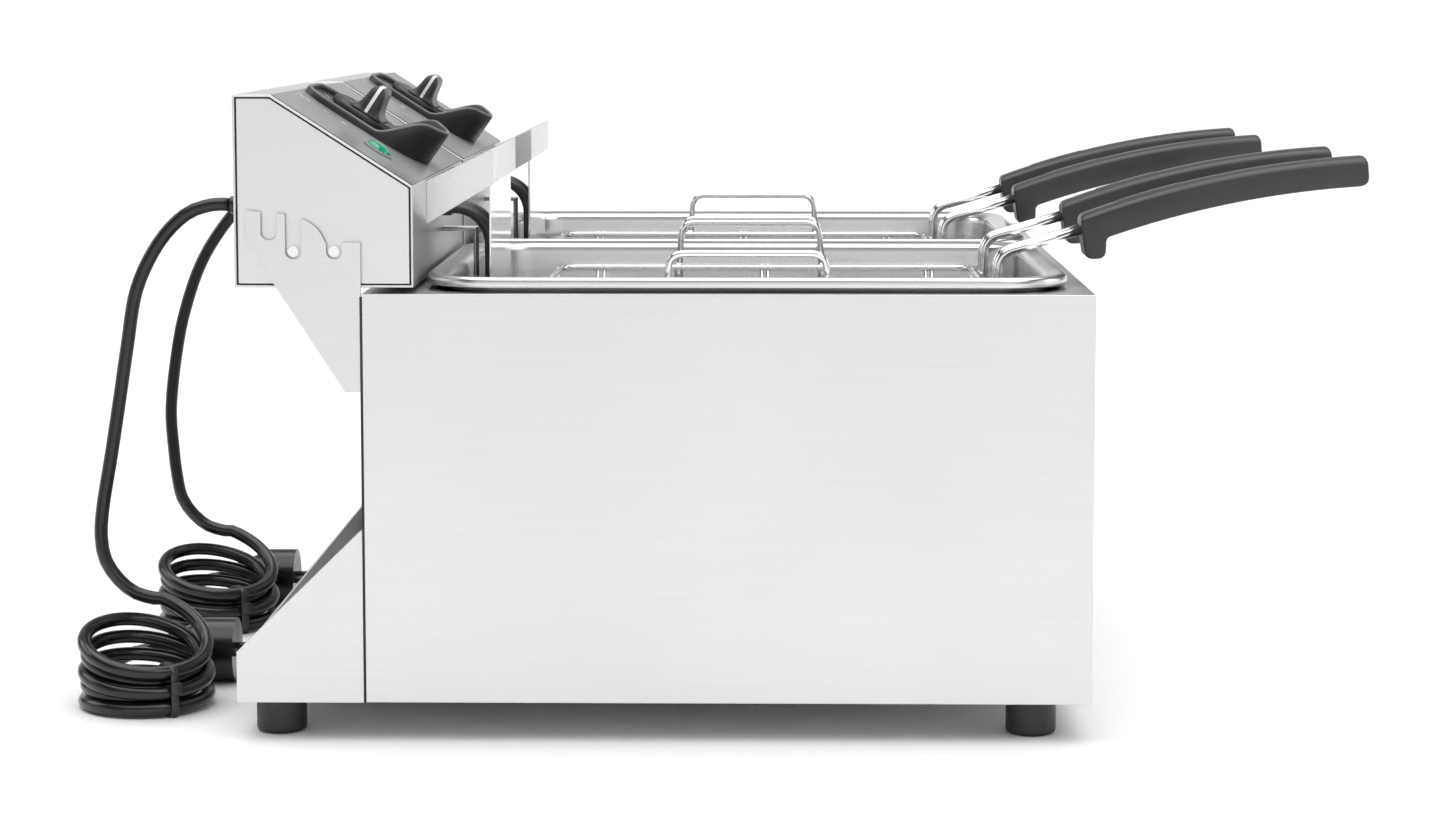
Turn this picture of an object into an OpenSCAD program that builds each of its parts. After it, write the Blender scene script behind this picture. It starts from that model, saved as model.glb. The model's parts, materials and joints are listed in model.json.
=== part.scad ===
// Twin-tank countertop electric fryer: two lift-up control heads, two pots, four baskets.
// Front is -Y, left is -X, up is +Z. The origin is on the floor, under the middle of the fryer.

/* [Casing] */
// Width of the casing over both side walls
body_w = 560; // [540:10:600]
// Depth of the casing from its front face to its back face
body_d = 400; // [390:5:420]
// Height of the casing walls
body_h = 226.3; // [215:1:235]
// Height of the rubber feet
foot_h = 22; // [18:1:26]
// Diameter of the rubber feet
foot_d = 28; // [24:1:32]
// Depth of the stand behind the casing
stand_d = 70.8; // [65:1:75]
// Thickness of the sheet steel
sheet = 1.2; // [1:0.1:1.5]

/* [Pots] */
// Outer width of a pot's rim
pot_w = 270; // [262:1:272]
// Outer depth of a pot's rim
pot_d = 356.5; // [350:0.5:358]
// Depth of a pot below its rim
pot_deep = 157; // [145:1:165]
// Height of the rim above the top of the casing
rim_rise = 8.7; // [7:0.1:10]
// Wire diameter of the pot handles
loop_wire = 4; // [3.5:0.5:5]

/* [Heads] */
// Width of one control head
head_w = 270; // [262:1:272]
// Depth of one control head
head_d = 97.8; // [95:0.5:100]
// Height of one control head
head_h = 105; // [100:1:108]
// Diameter of the heating tubes
tube_d = 5.5; // [5:0.5:6.5]

/* [Baskets] */
// Width of one basket
basket_w = 108; // [100:1:110]
// Length of one basket at its rim
basket_l = 260; // [240:5:262]
// Height of one basket
basket_h = 120; // [105:1:122]
// Distance from the casing's front face to the tip of a grip
grip_reach = 160; // [150:5:170]

/* [Cords] */
// Diameter of a power cord
cord_d = 8; // [7:0.5:9]

/* [Hidden] */
$fn = 48;
eps = 0.01;

// Casing
total_d = grip_reach + body_d + stand_d;
y_front = grip_reach - total_d / 2;
y_back = y_front + body_d;
y_stand = y_back + stand_d;
z_floor = foot_h;
z_top = foot_h + body_h;
stand_low = 28;
stand_high = 97;
fold_w = 12;
opening_edge = 9;

// Pots
pot_x = 140;
pot_front = y_front + 12;
pot_back = pot_front + pot_d;
pot_mid = (pot_front + pot_back) / 2;
z_rim = z_top + rim_rise;
z_pot = z_rim - pot_deep;
well_w = pot_w - 26;
well_d = pot_d - 26.5;
well_r = 30;
rim_r = 40;
lip_h = 6;
loop_x = well_w / 2 - 2;
loop_half = 45;
loop_mid = y_front + 189.5;
loop_top = z_top + 22.7;
loop_bend = 9;

// Heads
head_x = 142;
head_back = y_stand - 1.5;
head_front = head_back - head_d;
z_head = z_top + 3.2;
z_head_top = z_head + head_h;
flat_d = 20.5;
brow_h = 55.5;
panel_rise = head_h - brow_h;
panel_run = head_d - flat_d;
slope = atan2(panel_rise, panel_run);
panel_len = norm([panel_run, panel_rise]);
panel_mid = [0, head_front + panel_run / 2, z_head + brow_h + panel_rise / 2];
pin_r = 3;
slot_w = 2 * pin_r + 2.4;
wall_gap = 1.3;
pin_out = 2.2;
pin_y = y_back + 36.7;
pin_z = z_top + 23.2;
pin_gap = 22.3;
knob_y = 7.6;
knob_skirt_r = 22;
shaft_d = 6;
lamp_x = -85;
lamp_y = -15.5;
lamp_r = 8;
guard_r = 36;
guard_wall = 2.4;
guard_y = -2;
guard_back = 44;
foil = 0.6;

// Heating element, hanger and guard plate
leg_y = y_front + 339.6;
inner_leg_y = leg_y + 2;
leg_x = [16, 6];
coil_half = [80, 45];
coil_step = 7;
foot_r = 12;
corner_r = 15;
elbow_r = 22;
z_elbow = z_head + 35.5;
z_coil = z_pot + 12;
coil_front = y_front + 68;
hanger_x0 = -66;
hanger_x1 = 90;
hanger_y = y_front + 334;
hanger_h = 20;
z_hanger = z_top + 75.7;
guard_low = z_rim - 100;
sensor_x = [12, 22];
sensor_d = 2.4;
sensor_y = head_front - 20;
z_sensor = z_elbow - 14;

// Baskets
basket_x = [-198, -84, 82, 196];
basket_back = [0, 0, 16, 16];
basket_front = y_front + 50.4;
z_basket = z_rim - 13;
basket_taper = 8;
basket_wall = 2;
wire_d = 5;
wire_half = 7;
grip_w = 24;
grip_t = 17;
arc_r = 537;
arc_from = 20.5;
arc_to = 4;
tip_y = y_front - grip_reach;
arc_y = tip_y + grip_t / 2 - arc_r * sin(arc_to);
arc_z = z_rim + 54.5 - arc_r * cos(arc_to);

// Cords: round numbers along each route, from the gland down to the coil
gland_z = 288;
coil_r = 34;
coil_band = 10;
coil_h = 60;
coil_place = [[-190, 385, 0], [46, 385, 0]];
left_route = [[-142, 339, 288], [-142, 350, 288], [-142, 366, 282], [-143, 382, 265],
  [-144, 395, 238], [-145, 401, 204], [-146, 406, 172], [-148, 411, 140], [-150, 416, 110],
  [-152, 417, 92], [-154, 414, 78], [-155, 406, 66.5], [-156, 396, 59], [-156, 385, 56]];
right_route = [[142, 339, 288], [142, 350, 288], [141, 366, 282.5], [136, 387, 263],
  [128, 406, 233], [118, 417, 198], [110, 422, 166], [102, 424, 134], [94, 421, 108],
  [88, 418, 92], [84, 414, 77.5], [82, 406, 66.5], [80.5, 396, 59], [80, 385, 56]];
left_tail = [[-190, 419, 4], [-178, 420, 4], [-167, 422, 4.5], [-157, 424, 6], [-145, 422, 9],
  [-134, 415, 13], [-127, 404, 17], [-125, 392, 19]];
right_tail = [[46, 419, 4], [58, 420, 4], [69, 422, 4.5], [79, 424, 6], [91, 422, 9],
  [102, 415, 13], [109, 404, 17], [111, 392, 19]];
plug_r = 19;

// ---------- helpers ----------

// Runs the children once for the left side (s = -1) or the right side (s = 1)
module at_head(s) {
  translate([s * head_x, 0, 0]) children();
}

// A flat plate or block with four round corners, w along X and d along Y
module round_block(w, d, h, r) {
  linear_extrude(height = h) round_sheet(w, d, r);
}

module round_sheet(w, d, r) {
  square([w - 2 * r, d], center = true);
  square([w, d - 2 * r], center = true);
  for (x = [-1, 1], y = [-1, 1])
    translate([x * (w / 2 - r), y * (d / 2 - r)]) circle(r);
}

// A side outline in Y and Z, made into a solid that runs from x0 to x1
module along_x(x0, x1) {
  translate([x0, 0, 0]) rotate([90, 0, 90]) linear_extrude(height = x1 - x0) children();
}

// A round rod between two points
module rod(a, b, d) {
  v = b - a;
  translate(a)
    rotate([0, acos(v[2] / norm(v)), atan2(v[1], v[0])])
      cylinder(h = norm(v), d = d);
}

// A chain of rods with a slightly swollen round joint at each bend
module chain(points, d) {
  for (i = [0 : len(points) - 2]) rod(points[i], points[i + 1], d);
  for (i = [1 : len(points) - 2]) translate(points[i]) sphere(d = 1.04 * d);
}

// Children drawn on the sloping panel of a head, with +Z along its normal
module on_panel() {
  translate(panel_mid) rotate([slope, 0, 0]) children();
}

// Unit vector, and the sweep of a round cord along a route
function unit(v) = v / norm(v);
function heading(p, i) = unit(p[min(i + 1, len(p) - 1)] - p[max(i - 1, 0)]);
function side_of(t) = unit(cross(t, abs(t[0]) < 0.9 ? [1, 0, 0] : [0, 1, 0]));
function ring(p, i, r, n) = let (t = heading(p, i), u = side_of(t), w = cross(t, u))
  [for (k = [0 : n - 1]) p[i] + r * (cos(360 * k / n) * u + sin(360 * k / n) * w)];

module cord_tube(p, d, n = 8) {
  m = len(p);
  points = [for (i = [0 : m - 1]) each ring(p, i, d / 2, n)];
  walls = [for (i = [0 : m - 2], k = [0 : n - 1])
    [i * n + k, i * n + (k + 1) % n, (i + 1) * n + (k + 1) % n, (i + 1) * n + k]];
  ends = [[for (k = [n - 1 : -1 : 0]) k], [for (k = [0 : n - 1]) (m - 1) * n + k]];
  polyhedron(points, [for (f = concat(walls, ends)) [for (j = [len(f) - 1 : -1 : 0]) f[j]]]);
}

// ---------- casing ----------

module casing() color("gainsboro") {
  difference() {
    translate([-body_w / 2, y_front, z_floor]) cube([body_w, body_d, body_h]);
    translate([-body_w / 2 + sheet, y_front + sheet, z_floor - 1])
      cube([body_w - 2 * sheet, body_d, body_h + 1 - sheet]);
    for (s = [-1, 1])
      translate([s * pot_x, pot_mid, z_top - sheet - 1])
        round_block(well_w + 2 * opening_edge, well_d + 2 * opening_edge, sheet + 2, rim_r - 4);
  }
}

module rear_panel() color("silver")
  translate([-body_w / 2 + sheet, y_back - sheet, z_floor + sheet])
    cube([body_w - 2 * sheet, sheet, body_h - 2 * sheet]);

module base_plate() color("darkgray")
  difference() {
    translate([-body_w / 2 + sheet, y_front + sheet, z_floor])
      cube([body_w - 2 * sheet, body_d - sheet, sheet]);
    foot_places() translate([0, 0, z_floor - 1]) cylinder(h = sheet + 2, d = 5);
  }

// The stand: two side gussets with folded edges, joined by a floor and a low back wall
module gusset_outline() {
  polygon([[y_back, z_floor], [y_stand, z_floor], [y_stand, z_floor + stand_low],
    [y_back, z_floor + stand_high]]);
}

// The folded edge under a gusset's slope
module fold_outline() {
  fall = (stand_high - stand_low) / stand_d;
  high = z_floor + stand_high - 3 * fall;
  low = z_floor + stand_low + 3 * fall;
  polygon([[y_back + 3, high], [y_stand - 3, low], [y_stand - 3, low - 1.7],
    [y_back + 3, high - 1.7]]);
}

module rear_stand() color("silver") {
  for (x = [-body_w / 2, body_w / 2 - sheet]) along_x(x, x + sheet) gusset_outline();
  for (x = [-body_w / 2 + sheet, body_w / 2 - sheet - fold_w]) along_x(x, x + fold_w) fold_outline();
  difference() {
    translate([-body_w / 2 + sheet, y_back, z_floor])
      cube([body_w - 2 * sheet, stand_d, sheet]);
    foot_places() translate([0, 0, z_floor - 1]) cylinder(h = sheet + 2, d = 5);
  }
  translate([-body_w / 2 + sheet, y_stand - sheet, z_floor + sheet])
    cube([body_w - 2 * sheet, sheet, stand_low - sheet - 3]);
}

module foot_places() {
  for (x = [-1, 1], y = [y_front + 31, y_stand - 20])
    translate([x * (body_w / 2 - 30), y, 0]) children();
}

module feet() color("black")
  foot_places() difference() {
    union() {
      translate([0, 0, 1.5]) cylinder(h = foot_h - 1.5, d = foot_d);
      cylinder(h = 1.5, d1 = foot_d - 3, d2 = foot_d, $fn = 48);
    }
    translate([0, 0, -1]) cylinder(h = 11, d = 11);
    translate([0, 0, 5]) cylinder(h = foot_h, d = 5);
  }

module foot_screws() color("silver")
  foot_places() {
    translate([0, 0, 6]) cylinder(h = 4, d = 9);
    translate([0, 0, 9]) cylinder(h = foot_h - 5.6, d = 4.9);
  }

// ---------- brackets that hold the heads ----------

// Side plate: a rear rest notch, the pivot slot, the front pin's notch and the tooth before it
module bracket_outline() {
  difference() {
    translate([y_back, z_top])
      polygon([[0, -54], [9.3, -54], [46.6, 3.6], [51.9, 14], [62.6, 31.7], [62.6, 45.5],
        [44, 43.5], [0, 45.5]]);
    translate([y_back + 50, z_top + 33.5]) slot_outline();
    translate([pin_y, pin_z]) slot_outline();
    translate([pin_y - pin_gap, pin_z]) slot_outline();
    difference() {
      translate([y_back - 1, z_top + 28]) square([pin_y - y_back + 1, 40]);
      translate([pin_y, pin_z]) circle(r = pin_gap - slot_w / 2, $fn = 96);
    }
  }
}

// An upright slot with a round bottom and an open top
module slot_outline() {
  circle(d = slot_w);
  translate([-slot_w / 2, 0]) square([slot_w, 40]);
}

// A side plate beside the wall at x, on the side that k points to, with its flange
module bracket(x, k) {
  x0 = k > 0 ? x + wall_gap : x - wall_gap - sheet;
  along_x(x0, x0 + sheet) bracket_outline();
  translate([k > 0 ? x0 + sheet - 14 : x0, y_back, z_top - 53]) cube([14, sheet, 50]);
}

module left_bracket() color("silver") bracket(-head_x - head_w / 2, -1);
module right_bracket() color("silver") bracket(head_x + head_w / 2, 1);

module centre_bracket() color("silver") {
  bracket(-head_x + head_w / 2, 1);
  bracket(head_x - head_w / 2, -1);
}

// ---------- pots ----------

module pot(s) color("lightgray")
  translate([s * pot_x, pot_mid, 0]) {
    difference() {
      union() {
        translate([0, 0, z_pot - sheet])
          round_block(well_w + 2 * sheet, well_d + 2 * sheet, pot_deep + sheet, well_r + sheet);
        translate([0, 0, z_rim - 2]) round_block(pot_w, pot_d, 2, rim_r);
      }
      translate([0, 0, z_pot]) round_block(well_w, well_d, pot_deep + 1, well_r);
    }
    difference() {
      translate([0, 0, z_rim - lip_h]) round_block(pot_w, pot_d, lip_h - 1, rim_r);
      translate([0, 0, z_rim - lip_h - 1])
        round_block(pot_w - 2 * sheet, pot_d - 2 * sheet, lip_h, rim_r - sheet);
    }
    difference() {
      translate([0, 0, z_top]) round_block(pot_w - 6, pot_d - 6, rim_rise - 1, rim_r - 3);
      translate([0, 0, z_top - 1])
        round_block(pot_w - 6 - 2 * sheet, pot_d - 6 - 2 * sheet, rim_rise, rim_r - 3 - sheet);
    }
  }

module left_pot() pot(-1);
module right_pot() pot(1);

// One wire loop: two legs inside the rim and a bar across
module pot_loop(x) {
  low = z_rim - 22;
  bar = loop_top - loop_wire / 2;
  y0 = loop_mid - loop_half;
  y1 = loop_mid + loop_half;
  for (y = [y0, y1]) rod([x, y, low], [x, y, bar - loop_bend], loop_wire);
  rod([x, y0 + loop_bend, bar], [x, y1 - loop_bend, bar], loop_wire);
  for (m = [0, 1])
    translate([x, m == 0 ? y0 + loop_bend : y1 - loop_bend, bar - loop_bend])
      rotate([0, 0, m * 180])
        rotate([0, -90, 0]) rotate([0, 0, 270])
          rotate_extrude(angle = 90) translate([loop_bend, 0]) circle(d = loop_wire, $fn = 32);
}

module pot_handles(s) color("silver")
  for (x = [-1, 1]) pot_loop(s * pot_x + x * loop_x);

module left_pot_handles() pot_handles(-1);
module right_pot_handles() pot_handles(1);

// ---------- control heads ----------

module head_outline(inset = 0) {
  lift = inset / cos(slope);
  polygon([[head_back - inset, z_head + inset], [head_back - inset, z_head_top - inset],
    [head_back - flat_d + inset * tan(slope / 2), z_head_top - inset],
    [head_front + inset, z_head + brow_h - lift + inset * tan(slope)],
    [head_front + inset, z_head + inset]]);
}

function tube_places() = [for (x = leg_x, s = [-1, 1]) s * x];

// Wrapped sheet: back, top, sloping panel and front
module head_cover(s) color("gainsboro")
  at_head(s) difference() {
    along_x(-head_w / 2 + sheet, head_w / 2 - sheet) head_outline();
    along_x(-head_w / 2, head_w / 2) head_outline(sheet);
    translate([-head_w / 2, head_front + sheet, z_head - 1])
      cube([head_w, head_d - 2 * sheet, 1 + sheet + eps]);
    for (x = tube_places())
      translate([x, head_front - 1, z_elbow]) rotate([-90, 0, 0]) cylinder(h = 4, d = tube_d);
    for (x = sensor_x)
      translate([x, head_front - 1, z_sensor]) rotate([-90, 0, 0]) cylinder(h = 4, d = sensor_d);
    translate([0, head_back + 1, gland_z]) rotate([90, 0, 0]) cylinder(h = 4, d = 14);
    on_panel() {
      translate([0, knob_y, -4]) cylinder(h = 8, d = 12);
      translate([lamp_x, lamp_y, -4]) cylinder(h = 8, d = 10);
    }
  }

// Tray: floor with the two side walls
module head_tray(s) color("silver")
  at_head(s) {
    for (x = [-head_w / 2, head_w / 2 - sheet])
      difference() {
        along_x(x, x + sheet) head_outline();
        for (y = [pin_y, pin_y - pin_gap])
          translate([x - 1, y, pin_z]) rotate([0, 90, 0]) cylinder(h = sheet + 2, r = pin_r);
      }
    translate([-head_w / 2 + sheet, head_front + sheet, z_head])
      cube([head_w - 2 * sheet, head_d - 2 * sheet, sheet]);
  }

module control_panel(s) color("dimgray")
  at_head(s) on_panel() difference() {
    translate([-head_w / 2 + 2, -panel_len / 2 + 0.6, 0]) cube([head_w - 4, panel_len - 1.2, foil]);
    translate([0, knob_y, -1]) cylinder(h = 3, d = 12);
    translate([lamp_x, lamp_y, -1]) cylinder(h = 3, d = 10);
  }

// Outline of the knob's splash guard, seen along the panel's normal
module guard_outline(inset = 0) {
  translate([0, guard_y]) circle(r = guard_r - inset, $fn = 96);
  translate([-guard_r + inset, guard_y]) square([2 * (guard_r - inset), 26]);
  for (x = [-1, 1])
    translate([x * (guard_r - 20), guard_back - 20]) circle(r = 20 - inset);
  translate([-guard_r + 20, guard_y])
    square([2 * (guard_r - 20), guard_back - guard_y - inset]);
}

module knob_guard(s) color("black")
  at_head(s) on_panel() translate([0, 0, foil]) {
    intersection() {
      linear_extrude(height = 30) difference() {
        guard_outline();
        guard_outline(guard_wall);
      }
      along_x(-50, 50) polygon([[-50, 0], [guard_back + 2, 0], [guard_back + 2, 3], [-4, 4.5],
        [-29, 22.5], [-50, 22.5]]);
    }
    linear_extrude(height = 1.2) difference() {
      guard_outline(1);
      translate([0, knob_y]) circle(r = 7);
    }
  }

// Knob: skirt, pointer bar and a bore for the thermostat's shaft
module knob(s) color("black")
  at_head(s) on_panel() translate([0, knob_y, foil + 2]) difference() {
    union() {
      cylinder(h = 4, r = knob_skirt_r);
      translate([0, 0, 4]) cylinder(h = 2, r1 = knob_skirt_r, r2 = knob_skirt_r - 3);
      along_x(3 - knob_skirt_r, knob_skirt_r - 3) {
        polygon([[-6, 2], [6, 2], [3.7, 19], [-3.7, 19]]);
        translate([0, 19]) circle(r = 3.7);
      }
    }
    translate([0, 0, -1]) cylinder(h = 10, d = shaft_d + 0.1);
  }

module lamp(s) color("mediumseagreen")
  at_head(s) on_panel() translate([lamp_x, lamp_y, 0]) {
    translate([0, 0, -14]) cylinder(h = 14 + foil + 1, d = 9.9);
    translate([0, 0, foil]) cylinder(h = 1.5, r = lamp_r);
    intersection() {
      translate([0, 0, foil + 1.5 - 6.5]) sphere(r = 10.3, $fn = 64);
      translate([0, 0, foil + 1]) cylinder(h = 10, r = lamp_r - 0.01);
    }
  }

// Thermostat: case under the panel, shaft into the knob, and two sensing tubes in the pot
module thermostat(s) color("tan")
  at_head(s) {
    on_panel() {
      translate([-20, knob_y - 16, -32]) cube([40, 32, 24]);
      translate([0, knob_y, -8 - eps]) cylinder(h = 8 - sheet + eps, d = 10);
      translate([0, knob_y, -8]) cylinder(h = 8 + foil + 2 + 8, d = shaft_d);
    }
    for (x = sensor_x)
      chain([[x, head_front + 10, z_sensor], [x, sensor_y, z_sensor], [x, sensor_y, z_pot + 60]],
        sensor_d);
    for (x = sensor_x)
      translate([x, sensor_y, z_pot + 20]) cylinder(h = 60, d = 5.5);
  }

module limiter(s) color("ivory")
  at_head(s) translate([70, head_back - 40, z_head + sheet]) {
    cube([36, 30, 26]);
    translate([18, 15, 26 - eps]) cylinder(h = 8, d = 8);
  }

module terminal_block(s) color("ivory")
  at_head(s) translate([-100, head_back - 36, z_head + sheet])
    difference() {
      cube([56, 22, 18]);
      for (i = [0 : 4]) translate([8 + i * 10, 11, 8]) cylinder(h = 12, d = 5);
    }

// Heating element: two hairpins, each out of the front wall, down into the pot, wider and forward
module bend(r, d) {
  rotate_extrude(angle = 90) translate([r, 0]) circle(d = d, $fn = 32);
}

module hairpin(x, wide, leg, front, z, d) {
  for (k = [-1, 1]) {
    translate([k * x, head_front + 14, z_elbow]) rotate([90, 0, 0])
      cylinder(h = head_front + 14 - leg - elbow_r, d = d);
    translate([k * x, leg + elbow_r, z_elbow - elbow_r]) rotate([0, -90, 0]) rotate([0, 0, 270])
      bend(elbow_r, d);
    translate([k * x, leg, z + foot_r]) cylinder(h = z_elbow - elbow_r - z - foot_r, d = d);
    translate([k * (x + foot_r), leg, z + foot_r]) rotate([90, 0, 0])
      rotate([0, 0, k > 0 ? 180 : 270]) bend(foot_r, d);
    translate([k * (x + foot_r), leg, z]) rotate([0, k * 90, 0])
      cylinder(h = wide - corner_r - x - foot_r, d = d);
    translate([k * (wide - corner_r), leg - corner_r, z]) rotate([0, 0, k > 0 ? 0 : 90])
      bend(corner_r, d);
    translate([k * wide, leg - corner_r, z]) rotate([90, 0, 0])
      cylinder(h = leg - front - 2 * corner_r, d = d);
    translate([k * (wide - corner_r), front + corner_r, z]) rotate([0, 0, k > 0 ? 270 : 180])
      bend(corner_r, d);
  }
  translate([corner_r - wide, front, z]) rotate([0, 90, 0])
    cylinder(h = 2 * (wide - corner_r), d = d);
}

module element(s) color("dimgray")
  at_head(s) {
    hairpin(leg_x[0], coil_half[0], leg_y, coil_front, z_coil, tube_d);
    hairpin(leg_x[1], coil_half[1], inner_leg_y, coil_front + 30, z_coil - coil_step, tube_d);
    for (x = tube_places())
      translate([x, head_front, z_elbow]) rotate([90, 0, 0]) cylinder(h = 9, d = 9, $fn = 6);
  }

// Hanger for draining baskets: two rising arms and a strap across
module hanger(s) color("gainsboro")
  at_head(s) {
    for (x = [hanger_x0, hanger_x1 - sheet])
      along_x(x, x + sheet)
        polygon([[head_front, z_hanger - 18], [head_front, z_hanger - 42.5],
          [hanger_y, z_hanger - hanger_h], [hanger_y, z_hanger]]);
    translate([hanger_x0 + sheet, hanger_y, z_hanger - hanger_h])
      cube([hanger_x1 - hanger_x0 - 2 * sheet, sheet, hanger_h]);
  }

module guard_plate(s) color("whitesmoke")
  at_head(s) {
    translate([hanger_x0 + 2, hanger_y + sheet, guard_low])
      cube([132, sheet, z_hanger - 4 - guard_low]);
  }

// Two pins through each side wall of a head: the rear pair is the pivot
module pivot_pins(s) color("silver")
  at_head(s)
    for (k = [-1, 1], y = [pin_y, pin_y - pin_gap])
      translate([k * head_w / 2, y, pin_z]) rotate([0, k * 90, 0]) {
        translate([0, 0, -6]) cylinder(h = 6 + pin_out, r = pin_r);
        translate([0, 0, -sheet - 3.5]) cylinder(h = 3.5, r = 4.5, $fn = 6);
      }

module cord_gland(s) color("black")
  at_head(s) translate([0, head_back, gland_z]) rotate([-90, 0, 0]) {
    translate([0, 0, -8]) cylinder(h = 8 + eps, d = 14);
    cylinder(h = 4, d = 18);
    translate([0, 0, 4]) cylinder(h = left_route[0][1] - head_back - 4, d1 = 14, d2 = cord_d + 2);
  }

// ---------- baskets ----------

// Side view of a basket: it narrows towards its floor
module basket_side(wall = 0, open = 0) {
  back = basket_front + basket_l;
  polygon([[basket_front + wall, z_basket + open], [back - wall, z_basket + open],
    [back - basket_taper - wall, z_basket - basket_h + wall],
    [basket_front + basket_taper + wall, z_basket - basket_h + wall]]);
}

module at_basket(i) {
  translate([basket_x[i], basket_back[i], 0]) children();
}

module basket(i) color("silver")
  at_basket(i) difference() {
    along_x(-basket_w / 2, basket_w / 2) basket_side();
    along_x(basket_wall - basket_w / 2, basket_w / 2 - basket_wall) basket_side(basket_wall, 5);
  }

// Handle: two wires up from the basket's front and forward into the grip
module handle(i) color("silver")
  at_basket(i) for (k = [-1, 1]) {
    y = basket_front - wire_d / 2;
    chain([[k * wire_half, y, z_basket - 40], [k * wire_half, y, z_rim + 3],
      [k * wire_half, y - 8, z_rim + 9],
      [k * wire_half, arc_y + arc_r * sin(arc_from), arc_z + arc_r * cos(arc_from)]], wire_d);
  }

module grip_section() {
  square([grip_t, grip_w - 10], center = true);
  square([grip_t - 10, grip_w], center = true);
  for (x = [-1, 1], y = [-1, 1])
    translate([x * (grip_t / 2 - 5), y * (grip_w / 2 - 5)]) circle(r = 5, $fn = 32);
}

// Grip: an arched bar with a round tip and a hooked heel
module grip(i) color("black")
  at_basket(i) {
    translate([0, arc_y, arc_z]) {
      rotate([0, -90, 0]) rotate([0, 0, arc_to])
        rotate_extrude(angle = arc_from - arc_to, $fn = 96) translate([arc_r, 0]) grip_section();
      translate([3 - grip_w / 2, arc_r * sin(arc_to), arc_r * cos(arc_to)])
        rotate([0, 90, 0]) cylinder(h = grip_w - 6, d = grip_t);
    }
    heel_y = arc_y + arc_r * sin(arc_from) - 4;
    heel_z = arc_z + arc_r * cos(arc_from) - 13;
    along_x(5 - grip_w / 2, grip_w / 2 - 5) {
      translate([heel_y, heel_z]) circle(r = 4.5);
      polygon([[heel_y + 4.5, heel_z], [heel_y + 3, heel_z + 12], [heel_y - 8, heel_z + 12],
        [heel_y - 4.5, heel_z]]);
    }
  }

// ---------- cords ----------

module coil(place) color("black")
  translate(place) rotate_extrude($fn = 64)
    translate([coil_r - coil_band, 0]) square([2 * coil_band, coil_h]);

// Mains plug lying on its side: round body, collar for the cord and two pins
module plug(tail) color("black") {
  end = tail[len(tail) - 1];
  translate([end[0], end[1], plug_r]) rotate([90, 0, 0]) {
    translate([0, 0, -eps]) cylinder(h = 18 + 2 * eps, d1 = 13, d2 = 26);
    translate([0, 0, 18]) cylinder(h = 12, r1 = 13, r2 = plug_r);
    translate([0, 0, 30]) cylinder(h = 20, r = plug_r);
    for (x = [-9.5, 9.5]) translate([x, 0, 50 - eps]) cylinder(h = 19, d = 4.8);
  }
}

module left_cord() color("black") {
  cord_tube(left_route, cord_d);
  cord_tube(left_tail, cord_d);
}

module right_cord() color("black") {
  cord_tube(right_route, cord_d);
  cord_tube(right_tail, cord_d);
}

module left_coil() coil(coil_place[0]);
module right_coil() coil(coil_place[1]);
module left_plug() plug(left_tail);
module right_plug() plug(right_tail);

// ---------- left and right copies ----------

module left_head_cover() head_cover(-1);
module right_head_cover() head_cover(1);
module left_head_tray() head_tray(-1);
module right_head_tray() head_tray(1);
module left_control_panel() control_panel(-1);
module right_control_panel() control_panel(1);
module left_knob_guard() knob_guard(-1);
module right_knob_guard() knob_guard(1);
module left_knob() knob(-1);
module right_knob() knob(1);
module left_lamp() lamp(-1);
module right_lamp() lamp(1);
module left_thermostat() thermostat(-1);
module right_thermostat() thermostat(1);
module left_limiter() limiter(-1);
module right_limiter() limiter(1);
module left_terminal_block() terminal_block(-1);
module right_terminal_block() terminal_block(1);
module left_element() element(-1);
module right_element() element(1);
module left_hanger() hanger(-1);
module right_hanger() hanger(1);
module left_guard_plate() guard_plate(-1);
module right_guard_plate() guard_plate(1);
module left_pivot_pins() pivot_pins(-1);
module right_pivot_pins() pivot_pins(1);
module left_cord_gland() cord_gland(-1);
module right_cord_gland() cord_gland(1);
module basket_a() basket(0);
module handle_a() handle(0);
module grip_a() grip(0);
module basket_b() basket(1);
module handle_b() handle(1);
module grip_b() grip(1);
module basket_c() basket(2);
module handle_c() handle(2);
module grip_c() grip(2);
module basket_d() basket(3);
module handle_d() handle(3);
module grip_d() grip(3);

casing();
rear_panel();
base_plate();
rear_stand();
feet();
foot_screws();
left_bracket();
centre_bracket();
right_bracket();
left_pot();
right_pot();
left_pot_handles();
right_pot_handles();
left_head_cover();
right_head_cover();
left_head_tray();
right_head_tray();
left_control_panel();
right_control_panel();
left_knob_guard();
right_knob_guard();
left_knob();
right_knob();
left_lamp();
right_lamp();
left_thermostat();
right_thermostat();
left_limiter();
right_limiter();
left_terminal_block();
right_terminal_block();
left_element();
right_element();
left_hanger();
right_hanger();
left_guard_plate();
right_guard_plate();
left_pivot_pins();
right_pivot_pins();
left_cord_gland();
right_cord_gland();
basket_a();
basket_b();
basket_c();
basket_d();
handle_a();
handle_b();
handle_c();
handle_d();
grip_a();
grip_b();
grip_c();
grip_d();
left_cord();
right_cord();
left_coil();
right_coil();
left_plug();
right_plug();
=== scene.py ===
import json
import math

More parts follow.
